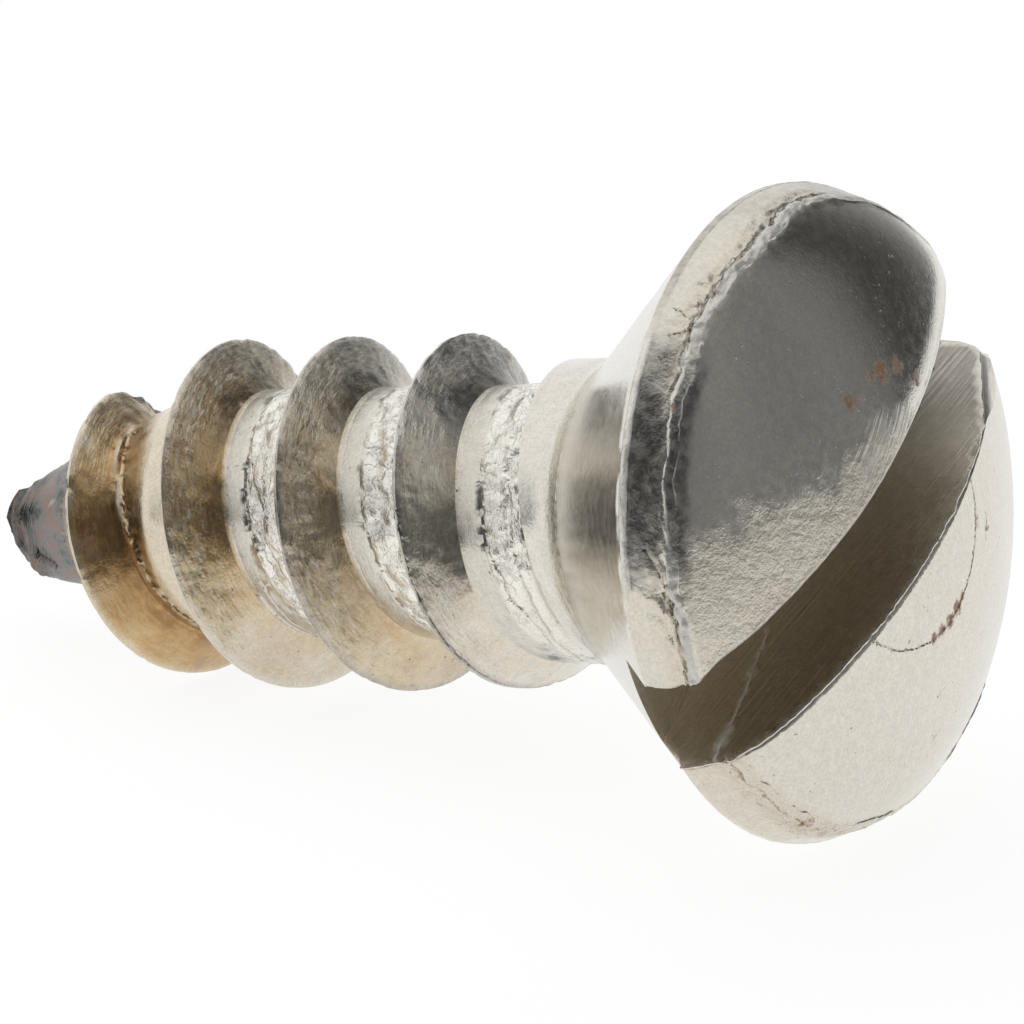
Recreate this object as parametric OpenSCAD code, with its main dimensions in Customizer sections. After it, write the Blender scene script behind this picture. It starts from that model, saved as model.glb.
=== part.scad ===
// Oval head sheet metal screw, slotted, with a coarse spaced thread and a
// blunt broken point. It lies at rest on the rim of its head and on the
// crest of its first turn. Right hand thread. Millimetres, +Z up.

/* [Head] */
// Diameter of the head at its rim
head_d = 6.1; // [5.6:0.05:6.6]
// Height of the domed crown above the rim
crown_rise = 1.36; // [1.2:0.01:1.6]
// Radius that rounds the dome down to the rim
edge_r = 0.88; // [0.7:0.01:1]
// Included angle of the countersunk underside
sink_angle = 82; // [78:1:90]
// Width of the driver slot
slot_w = 0.94; // [0.8:0.02:1.2]
// Depth of the slot below the top of the crown
slot_depth = 1.7; // [1.3:0.01:1.9]
// How far the slot is cut off centre
slot_off = 0.235; // [0:0.005:0.3]
// Direction of the slot round the axis
slot_turn = 117; // [0:1:360]
// Distance from the axis to the nick in the rim at one end of the slot
nick_at = 2.6; // [2.3:0.05:3]

/* [Thread] */
// Length from the point to the rim of the head
under_head = 9.56; // [9.3:0.02:12]
// Outside diameter of the thread
major_d = 3.48; // [3.3:0.01:3.6]
// Diameter of the core between the turns
core_d = 2.47; // [2.3:0.01:2.6]
// Advance of the thread in one turn
pitch = 1.411; // [1.3:0.001:1.45]
// Width of the flat on the crest
land = 0.09; // [0.05:0.01:0.16]
// Angle of each flank from the plane across the axis
flank_angle = 30; // [25:1:35]
// Diameter of the plain neck under the head
neck_d = 2.9; // [2.8:0.01:3.1]
// Distance from the end of the point to the start of the thread
thread_start = 1.418; // [1.3:0.002:1.6]

/* [Point] */
// Radius of the broken end
end_r = 0.27; // [0.2:0.01:0.35]
// Radius where the broken nose meets the taper
nose_r = 0.55; // [0.45:0.01:0.6]
// Length of the broken nose
nose_l = 0.53; // [0.4:0.01:0.7]
// Where the taper reaches the full core
taper_l = 2.7; // [2.4:0.05:3]
// How far the end is bent to one side
end_bend = 0.14; // [0:0.01:0.2]
// Roughness of the broken end, as a part of its radius
end_rough = 0.16; // [0:0.01:0.2]

/* [Hidden] */

head_r = head_d / 2;
major_r = major_d / 2;
core_r = core_d / 2;
neck_r = neck_d / 2;
crown_z = under_head + crown_rise;

// Crown and edge arcs, tangent to each other and to the rim
edge_c = head_r - edge_r;
crown_r = (crown_rise^2 + edge_c^2 - edge_r^2) / (2 * (crown_rise - edge_r));
crown_c = crown_z - crown_r;
blend_angle = atan2(edge_c, under_head - crown_c);

// The cone of the head at a radius, and where the neck ends inside it
function sink_at(r) = under_head - (head_r - r) / tan(sink_angle / 2);
core_in = 0.035;
sink_r = core_r - core_in;
neck_in = 0.08;
neck_z = sink_at(neck_r + neck_in);
neck_in_r = neck_r - 0.02;

// The thread starts on the taper and runs out into the neck. Angles are in
// degrees along the helix, from its start.
start_turn = 119;
start_ramp = 140;
ridge_h = 0.51;
step = 7.5;
per_turn = 360 / step;
last = floor((neck_z - thread_start) / pitch * per_turn);
last_turn = last - per_turn;
run_end = last * step;
fade_from = 400;
fade_to = 170;
groove_end = 80;
crest_fade = [run_end - fade_from, run_end - fade_to];
groove_fade = [last_turn * step - groove_end, last_turn * step];

// Rings of the point, below the thread
tip_gap = 0.2;
tip_z = thread_start - tip_gap;
bite_z = 0.2;
ring_z = [0, bite_z, nose_l, mix(nose_l, tip_z, 0.45), tip_z];
bend_turn = -16;
bend_from = -0.3;
pit = 0.07;

// The nick is a flat that starts in the slot's wall, at this angle across it
nick_angle = 37;

function mix(a, b, f) = a + (b - a) * f;
function ramp(x, a, b) = min(1, max(0, (x - a) / (b - a)));
function soft(x, a, b) = (1 - cos(180 * ramp(x, a, b))) / 2;

// Radius of the core at a height, without the thread
function core_at(z) = z < nose_l
    ? mix(end_r, nose_r, z / nose_l)
    : mix(nose_r, core_r, ramp(z, nose_l, taper_l));

// The crest line of the thread
function crest_z(t) = thread_start + pitch * t / 360;
function full_crest(t) =
    min(major_r, core_at(crest_z(t)) + ridge_h * ramp(t, 0, start_ramp)^0.4);
function crest_r(t) = mix(full_crest(t), neck_r, soft(t, crest_fade[0], crest_fade[1]));
function root_r(t, z) = mix(core_at(z), neck_r, soft(t, groove_fade[0], groove_fade[1]));
function foot_w(t) =
    land / 2 + max(0.03, (full_crest(t) - core_at(crest_z(t))) * tan(flank_angle));
function land_w(t) = land / 2 + (full_crest(t) - crest_r(t)) * tan(flank_angle);

// Height and radius of the points across one turn: foot, crest, crest, foot
// and the middle of the groove. In the last turn, they climb to the neck.
function lower_foot(t) = let (z = crest_z(t) - foot_w(t)) [z, root_r(t - 360, z)];
function upper_foot(t) = let (z = crest_z(t) + foot_w(t)) [z, root_r(t, z)];
function mid_groove(t) = let (z = crest_z(t) + pitch / 2) [z, root_r(t, z)];
function climb(t, f) = [mix(crest_z(t) + land / 2, neck_z, f), mix(crest_r(t), neck_in_r, f^0.4)];
function across(t) = [
    lower_foot(t),
    [crest_z(t) - land_w(t), crest_r(t)],
    [crest_z(t) + land / 2, crest_r(t)],
    t > last_turn * step ? climb(t, 0.12) : upper_foot(t),
    t > last_turn * step ? climb(t, 0.5) : mid_groove(t)
];
rows = len(across(0));

// Irregular outline of the broken end, which dies out up the taper
function lump(a, z) = 1 + end_rough * (1 - ramp(z, 0, tip_z))
    * (sin(2 * a + 40) + 0.6 * sin(5 * a) + 0.4 * sin(9 * a + 70)) / 1.4;
function bend(z) = end_bend * sin(180 * ramp(z, bend_from, tip_z));
function polar(r, a, z) = [r * cos(a), r * sin(a), z];
function tip_point(a, z) = polar(core_at(z) * lump(a, z), a, z + pit * lump(3 * a, z) * (1 - ramp(z, 0, bite_z)))
    + polar(bend(z), bend_turn, 0);

// Points: the strip along the helix, the rings of the point, the neck ring
// and the two end centres
strip = [for (j = [0:last]) for (p = across(j * step)) polar(p[1], start_turn + j * step, p[0])];
tip_rings = [for (z = ring_z) for (k = [0:per_turn - 1]) tip_point(start_turn + k * step, z)];
neck_ring = [for (k = [0:per_turn - 1]) polar(neck_in_r, start_turn + (last_turn + k) * step, neck_z)];
ends = [polar(bend(0), bend_turn, 2 * pit), [0, 0, neck_z]];

tip_from = len(strip);
neck_from = tip_from + len(tip_rings);
ends_from = neck_from + len(neck_ring);
top_ring = len(ring_z) - 1;

function s(j, i) = j * rows + i;
function tip(n, k) = tip_from + n * per_turn + k % per_turn;
function neck(k) = neck_from + k % per_turn;
function quad(a, b, c, d) = [[a, b, c], [a, c, d]];

// Faces, clockwise from outside: along the strip, from turn to turn, the
// point, the neck, and the two seams where the helix ends
strip_faces = [for (j = [0:last - 1]) for (i = [0:rows - 2])
    each quad(s(j, i), s(j, i + 1), s(j + 1, i + 1), s(j + 1, i))];
turn_faces = [for (j = [0:last_turn - 1])
    each quad(s(j, rows - 1), s(j + per_turn, 0), s(j + 1 + per_turn, 0), s(j + 1, rows - 1))];
tip_faces = [for (n = [0:top_ring - 1]) for (k = [0:per_turn - 1])
    each quad(tip(n, k), tip(n + 1, k), tip(n + 1, k + 1), tip(n, k + 1))];
end_faces = [for (k = [0:per_turn - 1]) [ends_from, tip(0, k), tip(0, k + 1)]];
start_faces = [for (k = [0:per_turn - 2])
    each quad(tip(top_ring, k), s(k, 0), s(k + 1, 0), tip(top_ring, k + 1))];
start_seam = [tip(top_ring, per_turn - 1), tip(top_ring, 0), for (i = [0:rows - 1]) s(0, i), s(per_turn, 0)];
start_hub = s(per_turn - 1, 0);
neck_faces = [for (k = [1:per_turn - 1])
    each quad(s(last_turn + k, rows - 1), neck(k), neck(k + 1), s(last_turn + k + 1, rows - 1))];
neck_seam = [neck(1), neck(0), for (i = [rows - 1:-1:0]) s(last, i), s(last_turn, rows - 1)];
neck_hub = s(last_turn + 1, rows - 1);
cap_faces = [for (k = [0:per_turn - 1]) [ends_from + 1, neck(k + 1), neck(k)]];
function fan(hub, loop) = [for (k = [0:len(loop) - 2]) [hub, loop[k + 1], loop[k]]];

// Lying at rest: the lowest point of the thread and the rim touch the floor
lie = min([for (p = strip) if (p[2] < neck_z / 2) atan((head_r - p[0]) / (under_head - p[2]))]);
drop = head_r * cos(lie) - under_head * sin(lie);

// The ends of the lying screw along the floor, so that it is centred there
point_x = min([for (p = tip_rings) p[0] * sin(lie) + p[2] * cos(lie)]);
crown_x = crown_c * cos(lie) + crown_r;

module shank() {
    polyhedron(
        points = concat(strip, tip_rings, neck_ring, ends),
        faces = concat(strip_faces, turn_faces, tip_faces, end_faces, start_faces,
            fan(start_hub, start_seam), neck_faces, fan(neck_hub, neck_seam), cap_faces));
}

module head() {
    rotate_extrude($fn = 96)
        polygon(concat(
            [[0, sink_at(sink_r)], [sink_r, sink_at(sink_r)]],
            [for (f = [0:0.1:0.9]) let (a = mix(90, blend_angle, f))
                [edge_c + edge_r * sin(a), under_head + edge_r * cos(a)]],
            [for (f = [0:0.1:1]) let (a = mix(blend_angle, 0, f))
                [crown_r * sin(a), crown_c + crown_r * cos(a)]]));
}

module slot() {
    rotate([0, 0, slot_turn])
        translate([-head_d, slot_off - slot_w / 2, crown_z - slot_depth])
            cube([2 * head_d, slot_w, 2 * slot_depth]);
}

module nick() {
    wall = slot_off - slot_w / 2;
    rotate([0, 0, slot_turn])
        translate([0, 0, sink_at(sink_r)])
            linear_extrude(head_d)
                polygon([
                    [nick_at, wall],
                    [nick_at, slot_off],
                    [head_d, slot_off],
                    [nick_at + head_r * sin(nick_angle), wall - head_r * cos(nick_angle)]
                ]);
}

module screw() {
    color([0.76, 0.74, 0.69])
        translate([-(point_x + crown_x) / 2, 0, drop])
            rotate([0, 90 - lie, 0])
                difference() {
                    union() {
                        shank();
                        head();
                    }
                    slot();
                    nick();
                }
}

screw();
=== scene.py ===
import math
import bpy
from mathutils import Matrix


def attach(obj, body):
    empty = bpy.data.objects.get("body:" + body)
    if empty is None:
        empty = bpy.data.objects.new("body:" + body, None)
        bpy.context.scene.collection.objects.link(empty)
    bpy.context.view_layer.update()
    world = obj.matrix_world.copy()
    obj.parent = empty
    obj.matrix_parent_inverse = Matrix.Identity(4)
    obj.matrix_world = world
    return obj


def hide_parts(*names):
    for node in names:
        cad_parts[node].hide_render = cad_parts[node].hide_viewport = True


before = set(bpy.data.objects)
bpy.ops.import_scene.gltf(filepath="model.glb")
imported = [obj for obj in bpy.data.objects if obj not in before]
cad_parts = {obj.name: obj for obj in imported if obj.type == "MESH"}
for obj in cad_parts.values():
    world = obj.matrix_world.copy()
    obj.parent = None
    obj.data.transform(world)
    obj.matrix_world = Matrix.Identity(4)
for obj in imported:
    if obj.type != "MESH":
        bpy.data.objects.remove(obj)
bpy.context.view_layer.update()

from types import SimpleNamespace
import bpy
import bmesh
from mathutils import Matrix, Vector, kdtree, noise

# The screw is made standing on its point along +Z, in millimetres and
# degrees, and is laid down on its rim and first turn at the end.
mm = 0.001
weld = 0.0008                 # points closer than this are merged
hair = 1e-4                   # what lies on a plane is this near to it
touch = 1e-3
rest = {
    "tilt": 11.034,           # of the axis, when it lies
    "shift": 5.4234,          # centres it along the floor
    "drop": 1.1639,
    "sharp": 42,              # edges above this angle stay crisp
}


def mix(a, b, f):
    return a + (b - a) * f


def ramp(x, a, b):
    return min(1, max(0, (x - a) / (b - a)))


def soft(x, a, b):
    f = ramp(x, a, b)
    return f * f * (3 - 2 * f)


def within(x, start, full, fall=None, end=None):
    # Rises from start to full, and falls again where that is given
    up = soft(x, start, full)
    return up if fall is None else up * (1 - soft(x, fall, end))


def bell(x):
    return math.exp(-x ** 2)


def fractal(co, scale, octaves=3, fineness=0.7, gap=2):
    return noise.fractal(co * scale, fineness, gap, octaves)


def around(co):
    return math.degrees(math.atan2(co.y, co.x))


def polar(r, angle, z=0):
    a = math.radians(angle)
    return Vector((r * math.cos(a), r * math.sin(a), z))


def tanD(angle):
    return math.tan(math.radians(angle))


def openEdges(bm, high):
    middle = (point["top"] + neckTop) / 2
    return [e for e in bm.edges if e.is_boundary and (e.verts[0].co.z > middle) == high]


def growRing(bm, edges, place, laneAt=0):
    # One more ring on the open edge, where points that meet are merged
    uv = bm.loops.layers.uv["lanes"]
    grown = bmesh.ops.extrude_edge_only(bm, edges=edges)["geom"]
    verts = [g for g in grown if isinstance(g, bmesh.types.BMVert)]
    for v in verts:
        v.co = place(around(v.co))
    for f in [g for g in grown if isinstance(g, bmesh.types.BMFace)]:
        for loop in f.loops:
            loop[uv].uv = (0, laneAt)
    bmesh.ops.remove_doubles(bm, verts=verts, dist=weld)
    kept = {v for v in verts if v.is_valid}
    return [e for e in bm.edges if e.is_boundary and e.verts[0] in kept and e.verts[1] in kept]


def closePole(bm, edges):
    bmesh.ops.edgeloop_fill(bm, edges=edges)


# Head and neck

head = {
    "radius": 3.05,
    "rimHeight": 9.56,        # from the point to the rim
    "crownRise": 1.36,
    "edgeRadius": 0.88,
    "rimLand": 0.085,         # plain strip round the rim
    "rimEdge": 84.5,          # where the round starts, and how much flatter
    "rimCut": 0.022,          # it is than a true round
    "sinkAngle": 82,
    "seamAt": 57.5,           # the forging seam and the lip inside it, as
    "lipAt": 49.5,            # angles of the edge round
    "lipKink": 7,
    "seamWander": 4.5,
    "seamReach": (7, 15),     # how far from them their wander dies out
    "seamDrop": 6,            # and how much lower they lie on the near lobe
    "dropAt": -97,
    "dropSpan": (55, 28),
    "lipStep": 0.012,
    "lipRadius": 2.84,
    "domeRadius": 2.3,        # where the dome itself starts
    "shoulderPull": 0.21,
    "coneRings": 16,
    # Rings of the dome, as the radius that they go in to, how many they are,
    # and every how many points are kept
    "domeRings": ((1.5, 17, 1), (0.75, 16, 2), (0.06, 14, 4)),
}

neck = {
    "radius": 1.45,
    "waist": 0.02,
    "fillet": 0.5,
    "worn": (7.62, 7.75),
}


def roundAngle(co):
    # Angle of the edge round: 90 at the rim, and less towards the dome
    out = co.xy.length - head["radius"] + head["edgeRadius"]
    return math.degrees(math.atan2(out, co.z - head["rimHeight"]))


def sinkAt(r):
    return head["rimHeight"] - (head["radius"] - r) / tanD(head["sinkAngle"] / 2)


filletReach = neck["fillet"] * tanD(head["sinkAngle"] / 4)
filletFrom = sinkAt(neck["radius"]) - filletReach
neckTop = sinkAt(neck["radius"]) + filletReach * math.cos(math.radians(head["sinkAngle"] / 2))
crownTop = head["rimHeight"] + head["crownRise"]


def neckR(z):
    # Plain neck and the hollow round that leads into the head
    if z < filletFrom:
        return 0
    dz = min(z, neckTop) - filletFrom
    return neck["radius"] + neck["fillet"] - math.sqrt(neck["fillet"] ** 2 - dz ** 2)


def edgeArc(angle):
    # Radius and height on the round between the rim and the dome
    a = math.radians(angle)
    c = head["radius"] - head["edgeRadius"]
    cut = head["rimCut"] * math.sin(math.pi * ramp(angle, head["rimEdge"], head["seamAt"]))
    return c + head["edgeRadius"] * math.sin(a) - cut, head["rimHeight"] + head["edgeRadius"] * math.cos(a)


def domeCurve():
    c, rise = head["radius"] - head["edgeRadius"], head["crownRise"]
    r = (rise ** 2 + c ** 2 - head["edgeRadius"] ** 2) / (2 * (rise - head["edgeRadius"]))
    return r, crownTop - r


def domeZ(r):
    crownR, crownC = domeCurve()
    return crownC + math.sqrt(crownR ** 2 - r ** 2)


def shoulder(f):
    # From the lip on the edge round to the dome, along a smooth curve
    crownR, crownC = domeCurve()
    r0, z0 = edgeArc(head["lipAt"])
    r3 = head["domeRadius"]
    z3 = domeZ(r3)
    out = math.radians(head["lipAt"] - head["lipKink"])
    flat = math.asin(r3 / crownR)
    reach = head["shoulderPull"]
    ctrl = ((r0, z0), (r0 - reach * math.cos(out), z0 + reach * math.sin(out)),
            (r3 + reach * math.cos(flat), z3 - reach * math.sin(flat)), (r3, z3))
    weights = ((1 - f) ** 3, 3 * f * (1 - f) ** 2, 3 * f * f * (1 - f), f ** 3)
    return sum(w * c[0] for w, c in zip(weights, ctrl)), sum(w * c[1] for w, c in zip(weights, ctrl))


def seamDrop(angle):
    return head["seamDrop"] * soft(abs(angle - head["dropAt"]), *head["dropSpan"])


def seamWave(angle):
    # How far the seam and its lip wander, in degrees of the edge round
    p = polar(2.9, angle)
    slow = noise.noise(p * 0.9 + Vector((3.1, 0, 0))) * 1.2
    fast = noise.noise(p * 4) * 0.55 + noise.noise(p * 11) * 0.3
    return head["seamWander"] * (slow + fast) + seamDrop(angle)


def edgePlace(angle, a, sunk):
    near = 1 - ramp(abs(a - (head["seamAt"] + head["lipAt"]) / 2), *head["seamReach"])
    r, z = edgeArc(a + seamWave(angle) * near)
    push = Vector((math.sin(math.radians(a)), math.cos(math.radians(a)))) * sunk
    return polar(r - push.x, angle, z - push.y)


def shoulderPlace(angle, f):
    wave = seamWave(angle) * (1 - ramp(f, 0, 0.5))
    r, z = shoulder(f)
    arc = math.radians(wave) * head["edgeRadius"]
    slope = math.radians(head["lipAt"] - head["lipKink"])
    return polar(r + arc * math.cos(slope), angle, z - arc * math.sin(slope))


def growHead(bm):
    edges = openEdges(bm, True)
    perTurn = 2 * thread["perTurn"]
    for i in range(1, head["coneRings"] + 1):
        r = mix(neckR(neckTop), head["radius"] - 0.004, i / head["coneRings"])
        edges = growRing(bm, edges, lambda angle: polar(r, angle, sinkAt(r)))
    bmesh.ops.subdivide_edges(bm, edges=edges, cuts=1)
    edges = openEdges(bm, True)
    seam, lip = head["seamAt"], head["lipAt"]
    low = head["rimHeight"]
    for up in (0.006, head["rimLand"] / 2, head["rimLand"] - 0.012, head["rimLand"] - 0.003):
        edges = growRing(bm, edges, lambda angle: polar(head["radius"], angle, low + up))
    edge = [(head["rimEdge"] - 0.2, 0), (head["rimEdge"] - 0.9, 0)]
    edge += [(mix(head["rimEdge"] - 2.5, seam + 5, i / 10), 0) for i in range(11)]
    edge += [(seam + step, 0) for step in (4, 3, 2, 1.2, 0.5, -0.2, -0.9)]
    edge += [(mix(seam - 1.8, lip + 1.4, i / 5), -0.006) for i in range(6)]
    edge += [(lip + 0.5, -head["lipStep"] * 0.7)]
    for a, sunk in edge:
        edges = growRing(bm, edges, lambda angle: edgePlace(angle, a, sunk))
    for i in range(0, 15):
        f = (i / 14) ** 1.15
        edges = growRing(bm, edges, lambda angle: shoulderPlace(angle, f))
    r0 = head["domeRadius"]
    for r1, count, step in head["domeRings"]:
        turn = 360 / perTurn * step
        for i in range(1, count + 1):
            r = mix(r0, r1, i / count)
            edges = growRing(bm, edges, lambda angle: polar(r, round(angle / turn) * turn, domeZ(r)))
        r0 = r1
    closePole(bm, edges)


# Thread and point

thread = {
    "start": 1.418,           # height of the crest at its start
    "startTurn": 119,
    "pitch": 1.411,
    "majorRadius": 1.74,
    "coreRadius": 1.235,
    "ridge": 0.51,
    "land": 0.08,
    "crestTop": -0.01,        # the land stops short of the middle of the crest
    "flank": 30,
    "startRamp": 140,
    "fadeFrom": 1235,         # where the crest starts to run out
    "fadeTo": 1465,
    "grooveFrom": 1195,       # where the groove starts to run out
    "grooveTo": 1275,
    "perTurn": 252,
    "foot": 0.3,              # lanes across one turn: lower foot, crest,
    "crest": 0.36,            # upper foot, then the groove up to 1
    "root": 0.66,
    "rows": ((0, 0.3, 4), (0.3, 0.36, 3), (0.36, 0.66, 11), (0.66, 0.79, 4), (0.79, 1, 8)),
    "width": 2.05,            # across one turn, along the surface
}

point = {
    "top": 1.218,
    "endRadius": 0.27,
    "noseRadius": 0.55,
    "noseLength": 0.53,
    "taperLength": 2.7,
    "bend": 0.14,
    "bendTurn": -16,
    "rough": 0.16,
    "pit": 0.07,
    "hub": (0.59, 0.1),       # middle of the end: share of the bend, and height
    "insets": (0.8, 0.6, 0.4, 0.2),
    "rings": 26,
    "burnt": (1.2, 1.5),      # where the dark skin ends
    "broken": (0.3, 1.0),     # and where the broken end does
}


def coreAt(z):
    if z < point["noseLength"]:
        return mix(point["endRadius"], point["noseRadius"], z / point["noseLength"])
    return mix(point["noseRadius"], thread["coreRadius"], ramp(z, point["noseLength"], point["taperLength"]))


def crestZ(t):
    return thread["start"] + thread["pitch"] * t / 360


def fullCrest(t):
    rise = thread["ridge"] * ramp(t, 0, thread["startRamp"]) ** 0.4
    return min(thread["majorRadius"], coreAt(crestZ(t)) + rise)


def crestR(t):
    return mix(fullCrest(t), neck["radius"] + neck["waist"], soft(t, thread["fadeFrom"], thread["fadeTo"]))


def rootR(t, z):
    filled = neck["radius"] - neck["waist"]
    return mix(coreAt(z), filled, soft(t, thread["grooveFrom"], thread["grooveTo"]))


def footAt(t):
    return thread["land"] / 2 + max(0.03, (fullCrest(t) - coreAt(crestZ(t))) * tanD(thread["flank"]))


def turnPoint(t, lane):
    # Height and radius across one turn
    half = thread["land"] / 2
    wide = half + (fullCrest(t) - crestR(t)) * tanD(thread["flank"])
    low, high = crestZ(t) - footAt(t), crestZ(t) + footAt(t)
    top = thread["crestTop"] + wide - half
    if lane < thread["foot"]:
        f = lane / thread["foot"]
        return mix(low, crestZ(t) - wide, f), mix(rootR(t - 360, low), crestR(t), f)
    if lane < thread["crest"]:
        f = ramp(lane, thread["foot"], thread["crest"])
        return mix(crestZ(t) - wide, crestZ(t) + top, f), crestR(t)
    if lane < thread["root"]:
        f = ramp(lane, thread["crest"], thread["root"])
        hollow = 0.012 * math.sin(math.pi * f) * ramp(crestR(t) - rootR(t, high), 0, 0.4)
        return mix(crestZ(t) + top, high, f) - hollow, mix(crestR(t), rootR(t, high), f) - hollow * 0.5
    f = ramp(lane, thread["root"], 1)
    z = mix(high, crestZ(t + 360) - footAt(t + 360), f)
    return z, rootR(t, z)


def wrapThread(bm):
    # A flat grid is wrapped round the core, turn on turn
    lanes = [mix(a, b, i / n) for a, b, n in thread["rows"] for i in range(n)] + [1]
    first, last = -360, 360 * math.ceil((neckTop + 0.4 - thread["start"]) / thread["pitch"] - 0.2)
    steps = (last - first) * thread["perTurn"] // 360
    turnOf, laneOf = bm.verts.layers.float.new("turn"), bm.verts.layers.float.new("lane")
    uv = bm.loops.layers.uv.new("lanes")
    bmesh.ops.create_grid(bm, x_segments=steps, y_segments=len(lanes) - 1, size=0.5)
    for v in bm.verts:
        v[turnOf] = mix(first, last, v.co.x + 0.5)
        v[laneOf] = lanes[round((v.co.y + 0.5) * (len(lanes) - 1))]
    for f in bm.faces:
        for loop in f.loops:
            loop[uv].uv = (loop.vert[turnOf] / 360, loop.vert[laneOf] * thread["width"])
    for v in bm.verts:
        z, r = turnPoint(v[turnOf], v[laneOf])
        z = min(neckTop, max(point["top"], z))
        if z in (neckTop, point["top"]):
            r = neckR(z) if z == neckTop else coreAt(z)
        v.co = polar(max(r, neckR(z)), thread["startTurn"] + v[turnOf], z)
    bmesh.ops.remove_doubles(bm, verts=bm.verts, dist=weld)


def lump(angle, z):
    # Irregular outline of the broken end, which dies out up the taper
    a = math.radians(angle)
    waves = math.sin(2 * a + 0.7) + 0.6 * math.sin(5 * a) + 0.4 * math.sin(9 * a + 1.2)
    return 1 + point["rough"] * (1 - ramp(z, 0, point["top"])) * waves / 1.4


def tipPlace(z):
    side = polar(point["bend"] * math.sin(math.pi * ramp(z, -0.3, point["top"])), point["bendTurn"])
    dent = point["pit"] * (1 - ramp(z, 0, 0.2))
    return lambda angle: polar(coreAt(z) * lump(angle, z), angle, z + dent * lump(3 * angle, z)) + side


def growPoint(bm):
    edges = openEdges(bm, False)
    for i in range(point["rings"] - 1, -1, -1):
        edges = growRing(bm, edges, tipPlace(point["top"] * i / point["rings"]))
    base = tipPlace(0)
    bent, height = point["hub"]
    centre = polar(point["bend"] * bent, point["bendTurn"], height)
    for inset in point["insets"]:
        edges = growRing(bm, edges, lambda angle: centre.lerp(base(angle), inset))
    closePole(bm, edges)


# Slot

slot = {
    "width": 0.94,
    "depth": 1.7,
    "offset": 0.235,
    "turn": 117,
    "nickAt": 2.62,
    "nickAngle": 37,
    "nickFrom": 1.6,          # it goes down to this radius of the cone
    "cutFrom": 0.3,           # how far below the floor faces are cut
    "reach": 3,
    "cornerCuts": ((54, 0.11), (30, 0.08), (74, 0.085)),
    "lipRows": (0.014, 0.032, 0.05, 0.075, 0.11),
    "burr": 0.03,
    "edgeWidth": 0.12,
    "smear": 0.13,
    "smearAt": (-2.8, 9.84),  # along the near wall, and height
    "smearReach": 0.5,
    "wallStep": 0.09,
    "wallIn": 0.02,
    "heartHeight": 9.9,
}

slotFloor = crownTop - slot["depth"]
slotWalls = (slot["offset"] - slot["width"] / 2, slot["offset"] + slot["width"] / 2)
slotAcross = polar(1, slot["turn"] + 90)
slotAlong = polar(1, slot["turn"])
wallHeart = slotAcross * slotWalls[1] + Vector((0, 0, slot["heartHeight"]))
smearAt = slotAlong * slot["smearAt"][0] + slotAcross * slotWalls[1] + Vector((0, 0, slot["smearAt"][1]))


def pieces(faces):
    geom = set(faces)
    for f in faces:
        geom.update(f.edges)
        geom.update(f.verts)
    return list(geom)


def side(co):
    return co.dot(slotAcross)


def inWidth(co, gap=0.0):
    # Between the walls of the slot, or this far outside them
    return slotWalls[0] - gap < side(co) < slotWalls[1] + gap


def cutAlong(bm, keep, co, no):
    faces = [f for f in bm.faces if keep(f.calc_center_median())]
    bmesh.ops.bisect_plane(bm, geom=pieces(faces), dist=1e-5, plane_co=co, plane_no=no)


def fillFlat(bm, onPlane, corner):
    # One flat face over the open edges that lie on a plane
    edges = [e for e in bm.edges if e.is_boundary and all(onPlane(v.co) for v in e.verts)]
    for pair in corner:
        link = bm.edges.get(pair) or bm.edges.new(pair)
        edges.append(link)
    return bmesh.ops.edgenet_fill(bm, edges=list(set(edges)), mat_nr=0, use_smooth=True)["faces"]


def cutSlot(bm):
    inHead = lambda co: co.z > slotFloor - slot["cutFrom"]
    for wall in slotWalls:
        cutAlong(bm, inHead, slotAcross * wall, slotAcross)
    between = lambda co: inHead(co) and inWidth(co)
    cutAlong(bm, between, Vector((0, 0, slotFloor)), Vector((0, 0, 1)))
    gone = [f for f in bm.faces if between(f.calc_center_median()) and f.calc_center_median().z > slotFloor]
    bmesh.ops.delete(bm, geom=gone, context="FACES")
    corners = []
    for wall in slotWalls:
        rim = {v for e in bm.edges if e.is_boundary for v in e.verts
               if abs(side(v.co) - wall) < hair and abs(v.co.z - slotFloor) < hair}
        ends = sorted(rim, key=lambda v: v.co.dot(slotAlong))
        corners.append((ends[0], ends[-1]))
    faces = []
    for wall, corner in zip(slotWalls, corners):
        faces += fillFlat(bm, lambda co: abs(side(co) - wall) < hair, [corner])
    faces += fillFlat(bm, lambda co: abs(co.z - slotFloor) < hair, corners)
    return faces


def cutFlat(bm, at, facing):
    # A flat across the end of the far lobe
    lobe = lambda co: side(co) < slotWalls[0] + hair and co.z > sinkAt(slot["nickFrom"])
    cutAlong(bm, lobe, at, facing)
    cutOff = lambda co: lobe(co) and (co - at).dot(facing) > 1e-5
    gone = [f for f in bm.faces if cutOff(f.calc_center_median())]
    bmesh.ops.delete(bm, geom=gone, context="FACES")
    edges = [e for e in bm.edges if e.is_boundary]
    bmesh.ops.edgenet_fill(bm, edges=edges, use_smooth=True)


def cutNick(bm):
    at = slotAlong * slot["nickAt"] + slotAcross * slotWalls[0]
    facing = polar(1, slot["turn"] + slot["nickAngle"])
    cutFlat(bm, at, facing)
    corner = at + Vector((0, 0, domeSpot(slot["turn"], slot["nickAt"]).z))
    for lean, deep in slot["cornerCuts"]:
        a = math.radians(lean)
        way = facing * math.sin(a) + Vector((0, 0, math.cos(a)))
        cutFlat(bm, corner - way * deep, way)


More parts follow.
